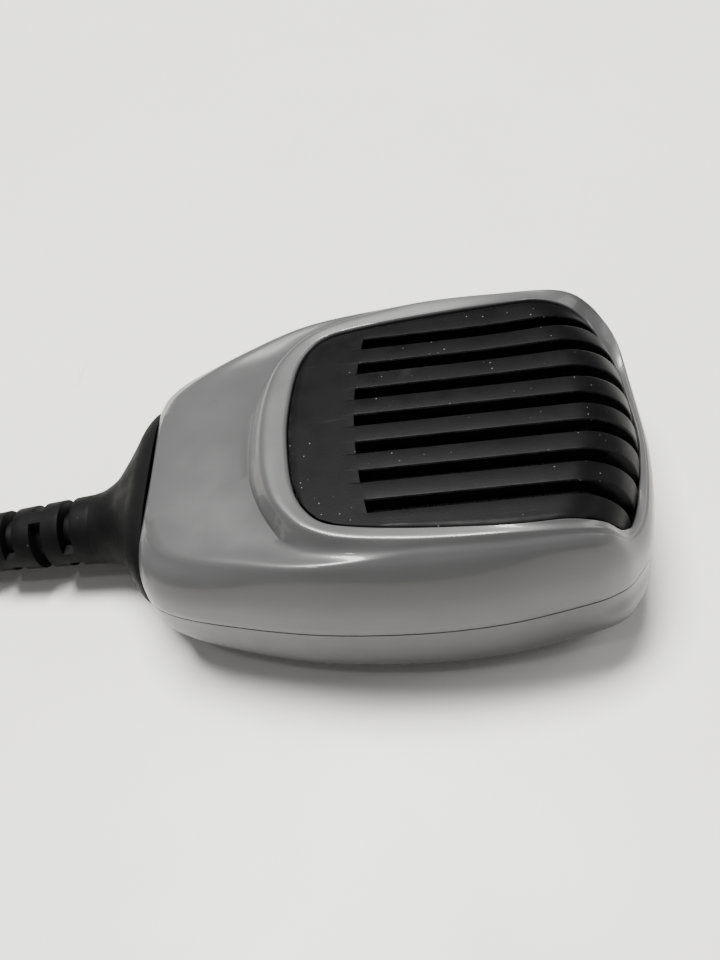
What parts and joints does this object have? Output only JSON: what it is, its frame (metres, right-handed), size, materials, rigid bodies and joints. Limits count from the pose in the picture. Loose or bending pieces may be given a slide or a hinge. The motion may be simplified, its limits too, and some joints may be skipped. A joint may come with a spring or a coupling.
{
  "type": "hand microphone",
  "caption": "Hand microphone with a slotted grille, side transmit lever, hanger knob, strain relief and curly cord ending in a modular plug.",
  "frame": {"origin": "on the flat back, under the middle of the case, on the surface that the microphone lies on", "axes": "+X to the head of the case, -X to the cord, +Y the transmit lever's side, +Z out of the grille"},
  "size_m": [0.274, 0.0577, 0.029],
  "materials": {
    "case_plastic": "light grey gloss",
    "grille_plastic": "satin black",
    "screen_black": "matt",
    "capsule_metal": "satin",
    "soft_rubber": "matt",
    "tinned_wire": "bright",
    "board_green": "solder mask",
    "part_black": "matt",
    "screw_steel": "zinc plated",
    "lever_plastic": "fine textured",
    "spring_steel": "bright",
    "plunger_red": "moulded",
    "header_nylon": "moulded",
    "wire_insulation": "coloured",
    "clamp_plastic": "moulded",
    "knob_metal": "nickel plated",
    "boot_rubber": "matt",
    "cord_rubber": "satin",
    "plug_clear": "clear moulded",
    "contact_gold": "gold plated"
  },
  "bodies": {
    "mic": {"front_case": "case_plastic", "rear_case": "case_plastic", "grille": "grille_plastic", "grille_screen": "screen_black", "mic_capsule": "capsule_metal", "capsule_holder": "soft_rubber", "capsule_leads": "tinned_wire", "circuit_board": "board_green", "board_parts": "part_black", "board_screws": "screw_steel", "ptt_pivot_pin": "screw_steel", "ptt_spring": "spring_steel", "switch_body": "part_black", "wire_header": "header_nylon", "cord_wires": "wire_insulation", "cord_clamp": "clamp_plastic", "clamp_screws": "screw_steel", "case_screws": "screw_steel", "hanger_knob": "knob_metal", "hanger_nut": "screw_steel", "cord_boot": "boot_rubber", "cord_lead": "cord_rubber", "cord_curl": "cord_rubber", "cord_tail": "cord_rubber", "cord_tie": "soft_rubber", "plug_boot": "boot_rubber", "plug_body": "plug_clear", "plug_contacts": "contact_gold"},
    "lever": {"ptt_lever": "lever_plastic"},
    "plunger": {"switch_plunger": "plunger_red"},
    "latch": {"plug_latch": "plug_clear"}
  },
  "joints": [
    {"name": "ptt_hinge", "type": "hinge", "parent": "mic", "child": "lever", "pos_m": [-0.011, 0.0224, 0.014], "axis": [0, 0, -1], "range_deg": [0, 2.5], "stiffness_Nm_per_rad": 0.5, "springref_deg": -5.73, "deforming": ["ptt_spring"]},
    {"name": "switch_slide", "type": "slide", "parent": "mic", "child": "plunger", "axis": [0, -1, 0], "range_m": [0, 0.0012]},
    {"name": "latch_hinge", "type": "hinge", "parent": "mic", "child": "latch", "pos_m": [-0.2335, -0.018, 0.0075], "axis": [0, 1, 0], "range_deg": [0, 8], "stiffness_Nm_per_rad": 0.02}
  ],
  "couplings": [
    {"joint": "switch_slide", "follows": "ptt_hinge", "m_per_rad": 0.025}
  ]
}
